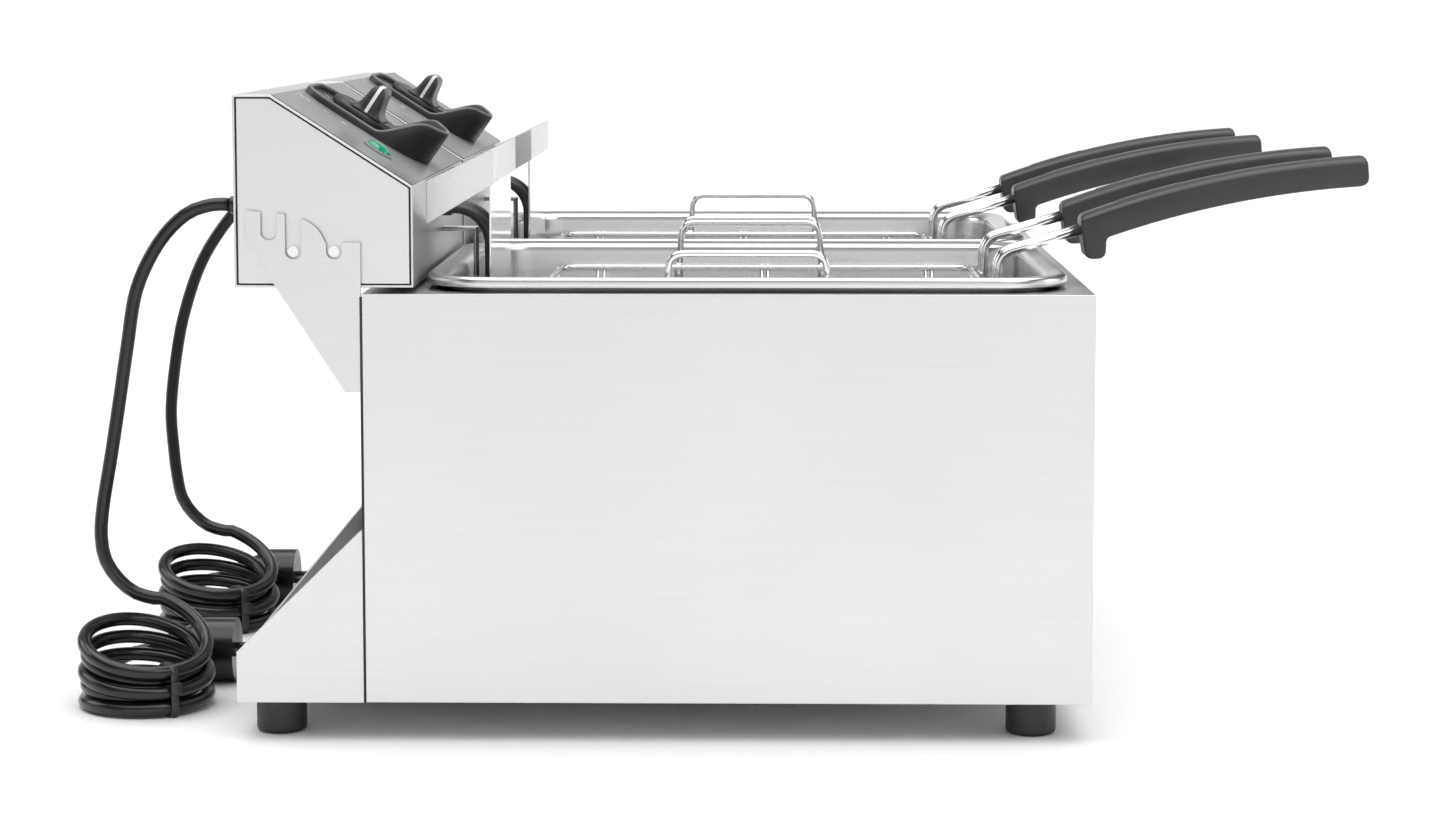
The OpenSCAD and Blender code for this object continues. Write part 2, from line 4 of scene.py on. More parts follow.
import bmesh
import bpy
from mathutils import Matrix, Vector

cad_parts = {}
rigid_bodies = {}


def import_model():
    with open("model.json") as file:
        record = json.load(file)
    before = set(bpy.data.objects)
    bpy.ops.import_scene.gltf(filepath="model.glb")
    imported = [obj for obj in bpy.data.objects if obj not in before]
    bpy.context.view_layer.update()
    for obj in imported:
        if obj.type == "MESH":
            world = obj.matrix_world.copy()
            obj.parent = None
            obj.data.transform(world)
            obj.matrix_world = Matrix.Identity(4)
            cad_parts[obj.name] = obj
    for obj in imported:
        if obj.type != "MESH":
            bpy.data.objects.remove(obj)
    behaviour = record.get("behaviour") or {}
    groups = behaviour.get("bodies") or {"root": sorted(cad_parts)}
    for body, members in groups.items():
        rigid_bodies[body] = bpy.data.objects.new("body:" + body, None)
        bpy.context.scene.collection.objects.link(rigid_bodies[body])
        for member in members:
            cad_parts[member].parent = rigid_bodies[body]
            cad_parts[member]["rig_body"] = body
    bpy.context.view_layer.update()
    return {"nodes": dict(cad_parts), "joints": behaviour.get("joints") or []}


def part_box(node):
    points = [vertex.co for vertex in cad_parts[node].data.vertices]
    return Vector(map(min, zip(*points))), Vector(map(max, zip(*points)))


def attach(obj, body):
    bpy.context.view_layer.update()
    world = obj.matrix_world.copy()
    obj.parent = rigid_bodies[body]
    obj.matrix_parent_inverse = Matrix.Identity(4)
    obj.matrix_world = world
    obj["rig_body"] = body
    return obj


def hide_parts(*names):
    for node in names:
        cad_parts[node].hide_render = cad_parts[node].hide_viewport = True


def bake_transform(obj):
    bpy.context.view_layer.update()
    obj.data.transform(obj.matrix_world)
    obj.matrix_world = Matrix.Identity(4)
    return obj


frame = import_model()
NODES = frame["nodes"]
JOINTS = {j["name"]: j for j in frame["joints"]}
MM = 0.001
SIDES = ("left", "right")
BASKETS = "abcd"


def mm(*v):
    """Millimetres to a vector in metres."""
    return Vector(v) * MM


# ---------- camera and light ----------

CAMERA_AT = mm(-1952, 21.3, 404.8)
VIEW_DOWN = math.radians(5.51)
VIEW_LEFT = math.radians(0.9)
LENS = 77.0
SHIFT_Y = -0.08


def make_camera():
    data = bpy.data.cameras.new("camera")
    data.lens = LENS
    data.sensor_width = 36
    data.shift_y = SHIFT_Y
    camera = bpy.data.objects.new("camera", data)
    bpy.context.scene.collection.objects.link(camera)
    level = math.cos(VIEW_DOWN)
    aim = Vector((level * math.cos(VIEW_LEFT), level * math.sin(VIEW_LEFT), -math.sin(VIEW_DOWN)))
    camera.location = CAMERA_AT
    camera.rotation_euler = aim.to_track_quat("-Z", "Y").to_euler()
    bpy.context.scene.camera = camera


def area_light(name, place, target, size, watts):
    data = bpy.data.lights.new(name, "AREA")
    data.shape = "RECTANGLE"
    data.size, data.size_y = size
    data.energy = watts
    lamp = bpy.data.objects.new(name, data)
    bpy.context.scene.collection.objects.link(lamp)
    lamp.location = place
    lamp.rotation_euler = (Vector(target) - Vector(place)).to_track_quat("-Z", "Y").to_euler()


def make_light():
    """White near the horizon, with darker bands to the sides and overhead that edges mirror."""
    world = bpy.data.worlds.new("studio")
    bpy.context.scene.world = world
    world.use_nodes = True
    tree = world.node_tree
    place = tree.nodes.new("ShaderNodeTexCoord")
    split = tree.nodes.new("ShaderNodeSeparateXYZ")
    tree.links.new(place.outputs["Generated"], split.inputs[0])
    across = tree.nodes.new("ShaderNodeMath")
    across.operation = "ABSOLUTE"
    tree.links.new(split.outputs["Y"], across.inputs[0])
    side = grey_ramp(tree, across.outputs[0],
                     ((0, 1), (0.5, 1), (0.66, 0.22), (0.78, 0.22), (0.9, 0.9)))
    high = grey_ramp(tree, split.outputs["Z"],
                     ((0, 1), (0.14, 1), (0.4, 0.4), (0.68, 0.3), (0.9, 0.85)))
    both = tree.nodes.new("ShaderNodeMixRGB")
    both.blend_type = "MULTIPLY"
    both.inputs["Fac"].default_value = 1
    tree.links.new(side, both.inputs[1])
    tree.links.new(high, both.inputs[2])
    tree.links.new(both.outputs[0], tree.nodes["Background"].inputs["Color"])
    tree.nodes["Background"].inputs["Strength"].default_value = 1.02
    sun = bpy.data.lights.new("overhead", "SUN")
    sun.energy = 2.35
    sun.angle = math.radians(80)
    sun_lamp = bpy.data.objects.new("overhead", sun)
    bpy.context.scene.collection.objects.link(sun_lamp)
    area_light("key", (-1.7, -1.1, 1.7), (0, 0, 0.2), (1.4, 1.0), 9)
    area_light("front", (0.2, -2.4, 1.0), (0, 0, 0.2), (1.4, 1.2), 8)
    area_light("back", (0.6, 2.2, 1.4), (0, 0.2, 0.1), (1.4, 1.0), 8)
    bpy.context.scene.view_settings.view_transform = "Standard"


def grey_ramp(tree, value, stops):
    """A grey that follows a value through the stops; returns the colour socket."""
    ramp = tree.nodes.new("ShaderNodeValToRGB")
    points = ramp.color_ramp.elements
    while len(points) < len(stops):
        points.new(1.0)
    for point, (position, grey) in zip(points, stops):
        point.position = position
        point.color = (grey, grey, grey, 1)
    tree.links.new(value, ramp.inputs["Fac"])
    return ramp.outputs["Color"]


def make_floor():
    size = 8
    mesh = bpy.data.meshes.new("floor")
    corners = [(-size, -size, 0), (size, -size, 0), (size, size, 0), (-size, size, 0)]
    mesh.from_pydata(corners, [], [(0, 1, 2, 3)])
    floor = bpy.data.objects.new("floor", mesh)
    bpy.context.scene.collection.objects.link(floor)
    paper = new_material("pale_floor", (0.93, 0.93, 0.93), 0.7)
    mesh.materials.append(paper)


# ---------- materials ----------


def new_material(name, colour, roughness, metallic=0.0):
    material = bpy.data.materials.new(name)
    material.use_nodes = True
    shader = material.node_tree.nodes["Principled BSDF"]
    shader.inputs["Base Color"].default_value = (*colour, 1)
    shader.inputs["Roughness"].default_value = roughness
    shader.inputs["Metallic"].default_value = metallic
    return material


def texture(material, stretch, scale, detail=3.0):
    """Noise in the row frame, stretched by the mapping; returns its output socket."""
    tree = material.node_tree
    place = tree.nodes.new("ShaderNodeTexCoord")
    mapping = tree.nodes.new("ShaderNodeMapping")
    mapping.inputs["Scale"].default_value = stretch
    grain = tree.nodes.new("ShaderNodeTexNoise")
    grain.inputs["Scale"].default_value = scale
    grain.inputs["Detail"].default_value = detail
    tree.links.new(place.outputs["Object"], mapping.inputs["Vector"])
    tree.links.new(mapping.outputs["Vector"], grain.inputs["Vector"])
    return grain.outputs["Fac"]


def mapped(material, value, low, high, socket):
    """Drives a shader socket with a texture, spread between low and high."""
    tree = material.node_tree
    spread = tree.nodes.new("ShaderNodeMapRange")
    spread.inputs["From Min"].default_value = 0.3
    spread.inputs["From Max"].default_value = 0.7
    spread.inputs["To Min"].default_value = low
    spread.inputs["To Max"].default_value = high
    tree.links.new(value, spread.inputs["Value"])
    tree.links.new(spread.outputs["Result"], tree.nodes["Principled BSDF"].inputs[socket])


def tinted(material, value, dark, light):
    """Colours a material between two tones by a texture."""
    tree = material.node_tree
    ramp = tree.nodes.new("ShaderNodeValToRGB")
    ramp.color_ramp.elements[0].position = 0.3
    ramp.color_ramp.elements[1].position = 0.7
    ramp.color_ramp.elements[0].color = (*dark, 1)
    ramp.color_ramp.elements[1].color = (*light, 1)
    tree.links.new(value, ramp.inputs["Fac"])
    tree.links.new(ramp.outputs["Color"], tree.nodes["Principled BSDF"].inputs["Base Color"])


def bumped(material, value, distance, strength=0.5):
    tree = material.node_tree
    bump = tree.nodes.new("ShaderNodeBump")
    bump.inputs["Distance"].default_value = distance
    bump.inputs["Strength"].default_value = strength
    tree.links.new(value, bump.inputs["Height"])
    tree.links.new(bump.outputs["Normal"], tree.nodes["Principled BSDF"].inputs["Normal"])


def steel(name, tone, roughness, stretch, strength):
    """Stainless sheet with a brushed grain along the axes that the stretch leaves short."""
    material = new_material(name, (tone, tone, tone * 0.99), roughness, 1.0)
    grain = texture(material, stretch, 1.0, 4.0)
    cloud = texture(material, (3, 3, 3), 2.0, 2.0)
    mapped(material, cloud, roughness - 0.04, roughness + 0.05, "Roughness")
    tinted(material, grain, (tone * 0.975,) * 3, (tone * 1.02, tone * 1.02, tone * 1.015))
    bumped(material, grain, 0.00002, strength)
    return material


def plastic(name, colour, roughness, grain_scale, depth):
    material = new_material(name, colour, roughness)
    grain = texture(material, (1, 1, 1), grain_scale, 4.0)
    wear = texture(material, (1, 1, 1), 14.0, 3.0)
    mapped(material, wear, roughness - 0.06, roughness + 0.08, "Roughness")
    tinted(material, wear, tuple(c * 0.8 for c in colour), tuple(c * 1.25 for c in colour))
    bumped(material, grain, depth, 0.6)
    return material


def make_materials():
    level_grain = (9, 9, 2400)
    cross_grain = (900, 9, 200)
    return {
        "side_steel": steel("side_steel", 0.7, 0.36, level_grain, 0.3),
        "head_steel": steel("head_steel", 0.68, 0.34, level_grain, 0.3),
        "plate_steel": steel("plate_steel", 0.72, 0.28, (9, 9, 1200), 0.15),
        "mirror_steel": steel("mirror_steel", 0.82, 0.1, (9, 9, 1200), 0.04),
        "pot_steel": steel("pot_steel", 0.66, 0.25, cross_grain, 0.15),
        "wire_steel": steel("wire_steel", 0.8, 0.16, (60, 60, 60), 0.05),
        "dark_steel": steel("dark_steel", 0.55, 0.3, level_grain, 0.2),
        "tube": plastic("tube", (0.035, 0.035, 0.037), 0.32, 500, 0.00003),
        "black": plastic("black", (0.022, 0.022, 0.023), 0.4, 2600, 0.00004),
        "grip": plastic("grip", (0.026, 0.026, 0.027), 0.33, 2600, 0.00004),
        "rubber": plastic("rubber", (0.018, 0.018, 0.018), 0.45, 1500, 0.00006),
        "cord": plastic("cord", (0.008, 0.008, 0.008), 0.2, 900, 0.00002),
        "foil": plastic("foil", (0.24, 0.24, 0.243), 0.36, 1800, 0.00002),
        # a mid grey far lighter than the black plastic it sits on: a painted highlight for the
        # lips of the grip slot and the knob guard
        "lip": plastic("lip", (0.17, 0.17, 0.172), 0.38, 2600, 0.00002),
        # near-black matte: painted shade for the inside of the grip slot, behind the head plates'
        # gap and in the casing's rear joints
        "gap": plastic("gap", (0.02, 0.02, 0.02), 0.7, 900, 0.00001),
        "ceramic": plastic("ceramic", (0.75, 0.72, 0.64), 0.3, 300, 0.00003),
        "print": plastic("print", (0.85, 0.85, 0.85), 0.5, 900, 0.00001),
        "tie": plastic("tie", (0.02, 0.02, 0.02), 0.3, 900, 0.00001),
        "lens": make_lens(),
    }


def make_lens():
    material = new_material("lens", (0.0, 0.28, 0.14), 0.12)
    shader = material.node_tree.nodes["Principled BSDF"]
    shader.inputs["Coat Weight"].default_value = 0.6
    shader.inputs["Emission Color"].default_value = (0.0, 0.42, 0.2, 1)
    shader.inputs["Emission Strength"].default_value = 0.08
    swirl = texture(material, (1, 1, 1), 260.0, 2.0)
    tinted(material, swirl, (0.0, 0.14, 0.07), (0.0, 0.42, 0.22))
    return material


# ---------- mesh helpers ----------


def add_mesh(name, verts, faces, material, body=None, smooth=True):
    mesh = bpy.data.meshes.new(name)
    mesh.from_pydata([tuple(v) for v in verts], [], faces)
    mesh.materials.append(material)
    for polygon in mesh.polygons:
        polygon.use_smooth = smooth
    piece = bpy.data.objects.new(name, mesh)
    bpy.context.scene.collection.objects.link(piece)
    if body:
        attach(piece, body)
    return piece


def frames_along(path):
    """Turning frames along a path with no twist: lists of side and up vectors."""
    ahead = [(path[min(i + 1, len(path) - 1)] - path[max(i - 1, 0)]).normalized()
             for i in range(len(path))]
    up = Vector((0, 0, 1)) if abs(ahead[0].z) < 0.9 else Vector((1, 0, 0))
    sides, ups = [], []
    side = ahead[0].cross(up).normalized()
    for t in ahead:
        side = (side - t * side.dot(t)).normalized()
        sides.append(side)
        ups.append(side.cross(t).normalized())
    return sides, ups


def loft(rings, closed_ends=True, ring_closed=True, loop=False):
    """Faces that join equal rings of points; returns vertices and faces."""
    n = len(rings[0])
    verts = [p for ring in rings for p in ring]
    faces = []
    count = len(rings)
    for i in range(count if loop else count - 1):
        a, b = i * n, (i + 1) % count * n
        for k in range(n if ring_closed else n - 1):
            j = (k + 1) % n
            faces.append((a + k, a + j, b + j, b + k))
    if closed_ends and not loop:
        faces.append(tuple(reversed(range(n))))
        faces.append(tuple(range((count - 1) * n, count * n)))
    return verts, faces


def tube(path, radius, sides=10, loop=False):
    side, up = frames_along(path)
    rings = []
    for p, s, u in zip(path, side, up):
        rings.append([p + radius * (math.cos(a) * s + math.sin(a) * u)
                      for a in (2 * math.pi * k / sides for k in range(sides))])
    return loft(rings, loop=loop)


def join(parts):
    """Joins (vertices, faces) pairs into one."""
    verts, faces = [], []
    for v, f in parts:
        base = len(verts)
        verts += v
        faces += [tuple(base + k for k in face) for face in f]
    return verts, faces


def rounded(points, radius, steps=6):
    """A path through the points with its corners rounded to the radius."""
    path = [points[0]]
    for a, b, c in zip(points, points[1:], points[2:]):
        u, v = (a - b).normalized(), (c - b).normalized()
        half = u.angle(v) / 2
        if half > math.radians(89):
            continue
        cut = min(radius / math.tan(half), 0.49 * (a - b).length, 0.49 * (c - b).length)
        p, q = b + u * cut, b + v * cut
        for k in range(steps + 1):
            t = k / steps
            path.append((1 - t) ** 2 * p + 2 * t * (1 - t) * b + t * t * q)
    path.append(points[-1])
    return path


def spline(points, gap=0.005):
    """A smooth path through the points, about one point every gap."""
    path = []
    p = [2 * points[0] - points[1], *points, 2 * points[-1] - points[-2]]
    for i in range(1, len(p) - 2):
        a, b, c, d = p[i - 1:i + 3]
        steps = max(2, int((c - b).length / gap))
        for k in range(steps):
            t = k / steps
            path.append(0.5 * ((2 * b) + (c - a) * t + (2 * a - 5 * b + 4 * c - d) * t * t
                               + (3 * b - a - 3 * c + d) * t ** 3))
    path.append(points[-1])
    return path


def round_rect(width, depth, radius, corner=8):
    """Points around a rectangle with round corners, centred on the origin."""
    points = []
    for k, (sx, sy) in enumerate(((1, 1), (-1, 1), (-1, -1), (1, -1))):
        for i in range(corner + 1):
            a = math.pi / 2 * (k + i / corner)
            points.append((sx * (width / 2 - radius) + radius * math.cos(a),
                           sy * (depth / 2 - radius) + radius * math.sin(a)))
    return points


def softened(node, width, material, segments=2, angle=40):
    """A copy of a CAD node with its edges broken by a small bevel."""
    source = NODES[node]
    mesh = source.data.copy()
    mesh.materials.clear()
    mesh.materials.append(material)
    work = bmesh.new()
    work.from_mesh(mesh)
    bmesh.ops.remove_doubles(work, verts=work.verts, dist=2e-6)
    bmesh.ops.dissolve_limit(work, angle_limit=math.radians(1.5), verts=work.verts,
                             edges=work.edges)
    work.to_mesh(mesh)
    work.free()
    piece = bpy.data.objects.new(f"{node}_finished", mesh)
    bpy.context.scene.collection.objects.link(piece)
    break_edges(piece, width, segments, angle)
    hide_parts(node)
    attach(piece, source["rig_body"])
    return piece


def break_edges(piece, width, segments=2, angle=40):
    """Rounds every edge sharper than the angle, and keeps the flat faces flat."""
    for polygon in piece.data.polygons:
        polygon.use_smooth = True
    piece.data.set_sharp_from_angle(angle=math.radians(angle - 5))
    bevel = piece.modifiers.new("edges", "BEVEL")
    bevel.width = width * MM
    bevel.segments = segments
    bevel.limit_method = "ANGLE"
    bevel.angle_limit = math.radians(angle)
    bevel.harden_normals = True


def paint(material, *names):
    for name in names:
        mesh = NODES[name].data
        mesh.materials.clear()
        mesh.materials.append(material)


# ---------- pots ----------


def make_pot(side, mats):
    """A drawn pot: rolled lip, flat rim, soft shoulder, tapered wall and round floor."""
    low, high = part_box(f"{side}_pot")
    mid = (low + high) / 2
    width, depth = (high - low).x / MM, (high - low).y / MM
    top, floor = high.z / MM, low.z / MM + 1.2
    well = 13
    floor_curve = 17
    # rows of inset from the rim's edge, height and corner radius, from the lip to the floor
    rows = [(0.4, top - 6, 40), (0, top - 4.5, 40), (0, top - 2.2, 40), (0.6, top - 0.9, 39.5),
            (2.0, top - 0.1, 38.5), (4, top, 37), (6, top - 0.4, 35), (8.5, top - 1.0, 33),
            (10.4, top - 1.4, 32), (11.8, top - 2.4, 31), (12.6, top - 4.2, 30.5),
            (well, top - 7, 30), (well + 0.2, top - 60, 30), (well + 0.4, floor + 18, 29)]
    for k in range(1, 6):
        a = math.pi / 2 * k / 5
        rows.append((well + 0.4 + floor_curve * (1 - math.cos(a)),
                     floor + 18 - (floor_curve + 0.4) * math.sin(a), 29 - 12 * k / 5))
    rings = []
    for inset, z, radius in rows:
        outline = round_rect(width - 2 * inset, depth - 2 * inset, radius, 10)
        rings.append([Vector((mid.x, mid.y, 0)) + mm(x, y, z) for x, y in outline])
    verts, faces = loft(rings, closed_ends=False)
    last = (len(rings) - 1) * len(rings[0])
    faces.append(tuple(range(last, last + len(rings[0]))))
    pot = add_mesh(f"{side}_pot_shell", verts, faces, mats["pot_steel"], "fryer")
    wall = pot.modifiers.new("wall", "SOLIDIFY")
    wall.thickness = 0.9 * MM
    wall.offset = -1
    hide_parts(f"{side}_pot")


LOOP_WIRE = 2 * MM
LOOP_BEND = 9 * MM


def make_pot_loops(side, mats):
    """Two bent wire handles with flattened feet welded inside the rim."""
    low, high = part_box(f"{side}_pot_handles")
    wire = LOOP_WIRE
    parts = []
    for x in (low.x + wire, high.x - wire):
        inward = 1 if x < (low.x + high.x) / 2 else -1
        y0, y1 = low.y + wire, high.y - wire
        corners = [Vector((x, y0, low.z)), Vector((x, y0 + 2 * MM, high.z - wire)),
                   Vector((x, y1 - 2 * MM, high.z - wire)), Vector((x, y1, low.z))]
        parts.append(tube(rounded(corners, LOOP_BEND, 8), wire, 14))
        for y in (y0, y1):
            pad = [Vector((x + inward * 0.2 * MM, y, low.z - 1 * MM)),
                   Vector((x, y, low.z + 9 * MM))]
            parts.append(tube(pad, 2.7 * MM, 12))
    loops = add_mesh(f"{side}_pot_loops", *join(parts), mats["wire_steel"], "fryer")
    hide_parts(f"{side}_pot_handles")


# ---------- baskets ----------

MESH_TOP = 15
MESH_GAP = 6.5
MESH_WIRE = 0.55 * MM
RIB_GAP = 102
RIB_WIRE = 1.2 * MM
FLOOR_WIRE_GAP = 52
BASKET_TAPER = 8.0


def make_basket(letter, mats):
    """Wire basket: heavy rim and frame wires with a fine woven mesh inside them."""
    low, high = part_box(f"basket_{letter}")
    mid = (low + high) / 2
    width, length = (high - low).x / MM, (high - low).y / MM
    tall = (high - low).z / MM
    body = f"basket_set_{letter}"
    base = Vector((mid.x, mid.y, high.z))

    def ring(drop, inset):
        """A ring around the basket, drop below the rim and inset from its outside."""
        shrink = BASKET_TAPER * drop / tall
        outline = round_rect(width - 2 * inset, length - 2 * inset - 2 * shrink, 10, 5)
        return [base + mm(x, y, -drop) for x, y in outline]

    frame_parts = []
    for drop, thick in ((1.8, 1.8), (MESH_TOP, 1.4), (tall * 0.5, 1.4), (tall - 2.2, 2.0)):
        frame_parts.append(tube(ring(drop, 2.4), thick * MM, 8, loop=True))
    side_x, top_y, foot_z = width / 2 - 2.4, length / 2 - 2.4, 2.2 - tall
    low_y = top_y - BASKET_TAPER
    for y in (-RIB_GAP, 0, RIB_GAP):
        for shift in (-1.9, 1.9):
            corners = [mm(-side_x, y + shift, 0), mm(-side_x, y + shift, foot_z),
                       mm(side_x, y + shift, foot_z), mm(side_x, y + shift, 0)]
            frame_parts.append(tube([base + c for c in corners], RIB_WIRE, 8))
    for k in (-0.5, 0.5):
        x = k * FLOOR_WIRE_GAP
        corners = [mm(x, -top_y, 0), mm(x, -low_y, foot_z), mm(x, low_y, foot_z), mm(x, top_y, 0)]
        frame_parts.append(tube([base + c for c in corners], RIB_WIRE, 8))
    rack = add_mesh(f"basket_frame_{letter}", *join(frame_parts), mats["wire_steel"], body)

    mesh_parts = []
    wall, end = width / 2 - 4.2, length / 2 - 4.2
    for k in range(1, int((tall - 6 - MESH_TOP) / MESH_GAP) + 1):
        mesh_parts.append(tube(ring(MESH_TOP + k * MESH_GAP, 4.2), MESH_WIRE, 4, loop=True))
    for k in range(int((length - 24) / MESH_GAP) + 1):
        y = -length / 2 + 12 + k * MESH_GAP
        corners = [mm(-wall, y, -MESH_TOP), mm(-wall, y, -tall + 4.4),
                   mm(wall, y, -tall + 4.4), mm(wall, y, -MESH_TOP)]
        mesh_parts.append(tube([base + c for c in corners], MESH_WIRE, 4))
    foot = end - BASKET_TAPER
    for k in range(int((width - 20) / MESH_GAP) + 1):
        x = -width / 2 + 10 + k * MESH_GAP
        corners = [mm(x, -end, -MESH_TOP), mm(x, -foot, -tall + 4.0),
                   mm(x, foot, -tall + 4.0), mm(x, end, -MESH_TOP)]
        mesh_parts.append(tube([base + c for c in corners], MESH_WIRE, 4))
    add_mesh(f"basket_mesh_{letter}", *join(mesh_parts), mats["wire_steel"], body, smooth=False)
    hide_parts(f"basket_{letter}")


HANDLE_WIRE = 2.5 * MM
HANDLE_HALF_GAP = 7 * MM
HANDLE_BEND = 12 * MM
HANDLE_RISE = math.tan(math.radians(16.5))


def make_handle(letter, mats):
    """Two wires that rise from the basket's front and run forward into the grip."""
    low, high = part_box(f"handle_{letter}")
    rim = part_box(f"basket_{letter}")[1].z
    mid_x = (low.x + high.x) / 2
    y_leg, y_end = high.y - HANDLE_WIRE, low.y + 1.2 * MM
    z_end = high.z - HANDLE_WIRE
    z_bend = z_end - (y_leg - y_end) * HANDLE_RISE
    parts = []
    for k in (-1, 1):
        x = mid_x + k * HANDLE_HALF_GAP
        corners = [Vector((x, y_leg + 1 * MM, low.z)), Vector((x, y_leg, z_bend)),
                   Vector((x, y_end, z_end))]
        parts.append(tube(rounded(corners, HANDLE_BEND, 10), HANDLE_WIRE, 14))
    for drop in (6, 34):
        bar = [Vector((mid_x - 11 * MM, high.y, rim - drop * MM)),
               Vector((mid_x + 11 * MM, high.y, rim - drop * MM))]
        parts.append(tube(bar, 1.6 * MM, 8))
    handle = add_mesh(f"handle_wires_{letter}", *join(parts), mats["wire_steel"],
                      f"basket_set_{letter}")
    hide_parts(f"handle_{letter}")


def offset_loop(points, d):
    """The closed outline moved inwards by d; points are 2-D vectors, anticlockwise."""
    moved = []
    for i, p in enumerate(points):
        along = (points[(i + 1) % len(points)] - points[i - 1]).normalized()
        moved.append(p + Vector((-along.y, along.x)) * d)
    return moved


def rounded_loop(corners, steps=5):
    """A closed 2-D outline from (point, radius) corners."""
    path = []
    for i, (b, radius) in enumerate(corners):
        if radius == 0:
            path.append(b)
            continue
        a, c = corners[i - 1][0], corners[(i + 1) % len(corners)][0]
        u, v = (a - b).normalized(), (c - b).normalized()
        cut = radius / math.tan(u.angle(v) / 2)
        p, q = b + u * cut, b + v * cut
        for k in range(steps + 1):
            t = k / steps
            path.append((1 - t) ** 2 * p + 2 * t * (1 - t) * b + t * t * q)
    return path


# the grip's arch, thickness, half width, edge radius and how far its top is crowned
GRIP_R = 537 * MM
GRIP_T = 17 * MM
GRIP_HALF = 12 * MM
GRIP_EDGE = 1.3 * MM
GRIP_CROWN = 4.6 * MM
HEEL_SLOPE = math.radians(20.5)
TIP_SLOPE = math.radians(4)


def grip_arc(letter, slope, lift=0.0):
    """A point of the grip's arched middle line, or lift above it, as (y, z)."""
    low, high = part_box(f"grip_{letter}")
    arc_y = low.y + GRIP_T / 2 - GRIP_R * math.sin(TIP_SLOPE)
    arc_z = high.z - GRIP_T / 2 - GRIP_R * math.cos(TIP_SLOPE)
    r = GRIP_R + lift
    return Vector((arc_y + r * math.sin(slope), arc_z + r * math.cos(slope)))


def grip_outline(letter):
    """Side view of the grip: arched top and underside, blunt tip, heel with its hook."""
    half = GRIP_T / 2
    ahead = Vector((-math.cos(TIP_SLOPE), math.sin(TIP_SLOPE))) * (half - 0.3 * MM)
    slopes = [HEEL_SLOPE + (TIP_SLOPE - HEEL_SLOPE) * k / 24 for k in range(1, 25)]
    heel = grip_arc(letter, HEEL_SLOPE, half)
    toe = heel + Vector((-3, -25)) * MM
    inner_toe = toe + Vector((-11.6, 0.6)) * MM
    root_slope = HEEL_SLOPE - 9.6 * MM / GRIP_R
    corners = [(heel, 3.2 * MM)]
    corners += [(grip_arc(letter, a, half), 0) for a in slopes]
    corners.append((grip_arc(letter, TIP_SLOPE, half) + ahead, 3.2 * MM))
    corners.append((grip_arc(letter, TIP_SLOPE, -half) + ahead, 6.2 * MM))
    corners += [(grip_arc(letter, a, -half), 0) for a in reversed(slopes)
                if a < root_slope - 0.012]
    corners.append((grip_arc(letter, root_slope, -half), 3.6 * MM))
    corners.append((inner_toe, 5.2 * MM))
    corners.append((toe, 5.2 * MM))
    return rounded_loop(corners)


def make_grip(letter, mats):
    """Moulded grip: flat cheeks, softly broken edges, a crowned top and a shallow slot in it."""
    low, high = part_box(f"grip_{letter}")
    mid_x = (low.x + high.x) / 2
    body = f"basket_set_{letter}"
    outline = grip_outline(letter)
    middle = grip_arc(letter, 0, -GRIP_R)
    heel_y = grip_arc(letter, HEEL_SLOPE).y

    def ring(x, inset):
        """The outline at x across the grip: its top sinks towards the cheeks."""
        drop = GRIP_CROWN * (1 - math.sqrt(1 - min(1, abs(x) / GRIP_HALF) ** 2 * 0.96))
        points = []
        for y, z in offset_loop(outline, inset):
            broad = 0.84 + 0.16 * min(1, max(0, (heel_y - y) / (60 * MM)))
            height = (Vector((y, z)) - middle).length - GRIP_R + GRIP_T / 2
            share = min(1, max(0, height / GRIP_T))
            points.append(Vector((mid_x + x * broad, y, z - drop * share)))
        return points

    edge = []
    for k in range(5):
        a = math.pi / 2 * k / 4
        edge.append((GRIP_EDGE * (1 - math.sin(a)) - GRIP_HALF, GRIP_EDGE * (1 - math.cos(a))))
    edge.sort()
    flats = [(GRIP_HALF * t, 0) for t in (-0.8, -0.65, -0.45, -0.25, 0, 0.25, 0.45, 0.65, 0.8)]
    sections = edge + flats + [(-x, d) for x, d in reversed(edge)]
    shape = loft([ring(x, d) for x, d in sections])
    grip = add_mesh(f"grip_shape_{letter}", *shape, mats["grip"], body)
    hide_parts(f"grip_{letter}")
    make_grip_slot(letter, mid_x, mats, body)


def make_grip_slot(letter, mid_x, mats, body):
    """A long shallow slot in the top, near the heel: a flat dark bed, painted shade in place of
    the slot's depth, inside a fine raised lip in a lighter grey that is a painted highlight.
    """
    start, end = HEEL_SLOPE - math.radians(2.4), HEEL_SLOPE - math.radians(6.2)
    half = 1.7 * MM
    lift = GRIP_T / 2 - 0.02 * MM
    edge = []
    steps = 12
    for sign, first, last in ((1, start, end), (-1, end, start)):
        for k in range(steps + 1):
            slope = first + (last - first) * k / steps
            fade = math.sin(math.pi * min(max(k / steps, 0.06), 0.94)) ** 0.25
            y, z = grip_arc(letter, slope, lift)
            edge.append(Vector((mid_x + sign * half * fade, y, z)))
    # the lip takes the lighter grey: a painted highlight around the slot
    add_mesh(f"grip_slot_highlight_lip_{letter}", *tube(edge, 0.35 * MM, 8, loop=True), mats["lip"], body)
    # the bed is a flat near-black sheet on the top: painted shade for the inside of the slot
    bed = loft([edge[:steps + 1], list(reversed(edge[steps + 1:]))], closed_ends=False,
               ring_closed=False)
    add_mesh(f"grip_slot_shade_bed_{letter}", *bed, mats["gap"], body)


# ---------- heads ----------


def panel_frame(side):
    """Centre, across, up-slope and normal of a head's sloping panel."""
    low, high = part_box(f"{side}_control_panel")
    rise, run = (high - low).z, (high - low).y
    slope = math.atan2(rise, run)
    across = Vector((1, 0, 0))
    up = Vector((0, math.cos(slope), math.sin(slope)))
    normal = across.cross(up)
    centre = (low + high) / 2 + normal * 0.3 * MM
    return centre, across, up, normal


def on_panel(side, x, y, z=0.0):
    centre, across, up, normal = panel_frame(side)
    return centre + across * x * MM + up * y * MM + normal * z * MM


